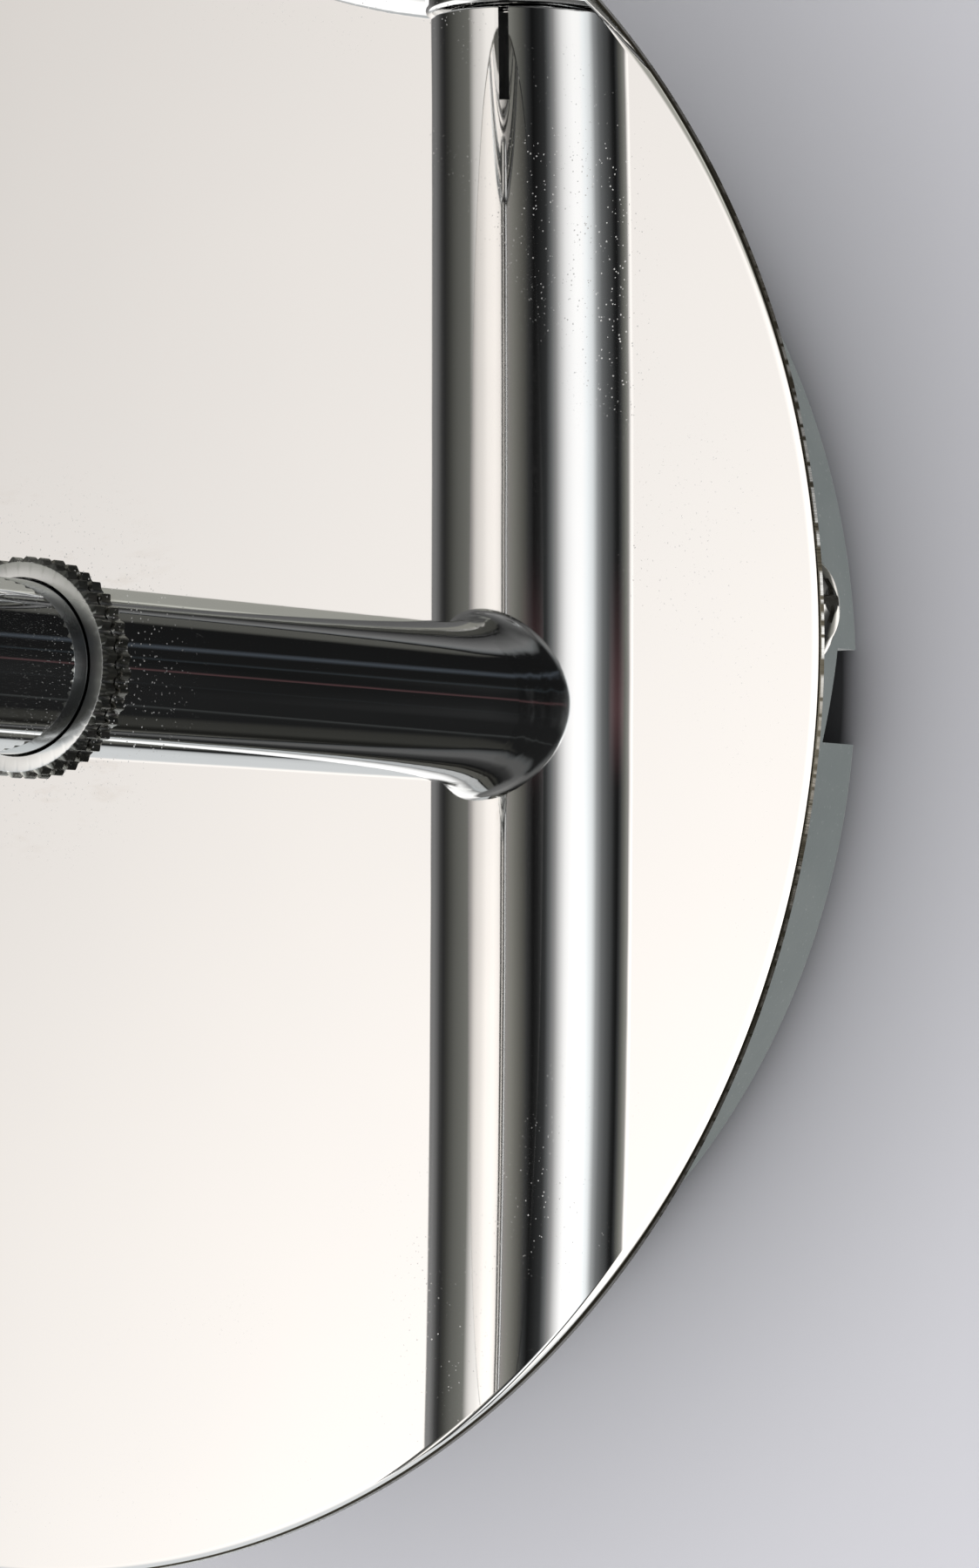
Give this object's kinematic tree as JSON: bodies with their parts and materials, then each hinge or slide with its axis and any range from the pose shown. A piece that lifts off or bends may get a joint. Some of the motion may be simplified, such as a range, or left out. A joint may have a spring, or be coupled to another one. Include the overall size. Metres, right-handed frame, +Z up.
{
  "type": "extendable shaving mirror",
  "caption": "Round two-sided shaving mirror that tips in a bow on a rod rising out of an upright sleeve, held off the wall by an arm from a drum with a polished disc.",
  "frame": {"origin": "on the wall, where the axis of the arm meets the back face of the base plate", "axes": "+Z up, -Y out from the wall along the arm, +X to the right of someone facing the mirror"},
  "size_m": [0.1816, 0.1325, 0.3113],
  "materials": {
    "polished": "mirror-polished plate with faint wiping marks",
    "chrome": "bright chrome plate",
    "paint": "satin grey-green paint",
    "steel": "zinc-plated steel",
    "brass": "turned brass",
    "nylon": "natural nylon",
    "board": "dark fibre board",
    "mirror": "silvered glass"
  },
  "bodies": {
    "wall_assembly": {"drum": "paint", "base_plate": "steel", "wall_screw_1": "steel", "wall_screw_2": "steel", "wall_screw_3": "steel", "side_screw_1": "chrome", "side_screw_2": "chrome", "side_screw_3": "chrome", "hub": "steel", "hub_screw_1": "steel", "hub_screw_2": "steel", "hub_screw_3": "steel", "hub_grub_screw": "steel", "cover_disc": "polished", "arm_tube": "chrome", "sleeve_tube": "chrome", "sleeve_cap": "chrome", "sleeve_bush": "nylon"},
    "jam_nut": {"knurled_nut": "chrome"},
    "glide": {"rod_glide": "nylon"},
    "rod": {"rod_tube": "chrome", "bow_boss": "chrome", "mirror_bow": "chrome", "left_washer": "nylon", "right_washer": "nylon"},
    "mirror_head": {"mirror_band": "chrome", "front_bezel": "chrome", "rear_bezel": "chrome", "plain_glass": "mirror", "magnifying_glass": "mirror", "backing_board": "board", "left_socket": "brass", "right_socket": "brass", "left_stud": "steel", "right_stud": "steel"},
    "left_grip": {"left_knob": "chrome"},
    "right_grip": {"right_knob": "chrome"}
  },
  "joints": [
    {"name": "nut_turn", "type": "hinge", "parent": "wall_assembly", "child": "jam_nut", "pos_m": [0, -0.0355, 0], "axis": [0, 1, 0], "range_deg": [-180, 0]},
    {"name": "rod_rise", "type": "slide", "parent": "wall_assembly", "child": "glide", "axis": [0, 0, 1], "range_m": [0, 0.102]},
    {"name": "rod_turn", "type": "hinge", "parent": "glide", "child": "rod", "pos_m": [0, -0.1213, 0], "axis": [0, 0, 1], "continuous": true},
    {"name": "mirror_tilt", "type": "hinge", "parent": "rod", "child": "mirror_head", "pos_m": [0, -0.1213, 0.1516], "axis": [1, 0, 0], "continuous": true},
    {"name": "left_knob_turn", "type": "hinge", "parent": "mirror_head", "child": "left_grip", "pos_m": [-0.085, -0.1213, 0.1516], "axis": [1, 0, 0], "range_deg": [-180, 0]},
    {"name": "right_knob_turn", "type": "hinge", "parent": "mirror_head", "child": "right_grip", "pos_m": [0.085, -0.1213, 0.1516], "axis": [1, 0, 0], "range_deg": [0, 180]}
  ]
}
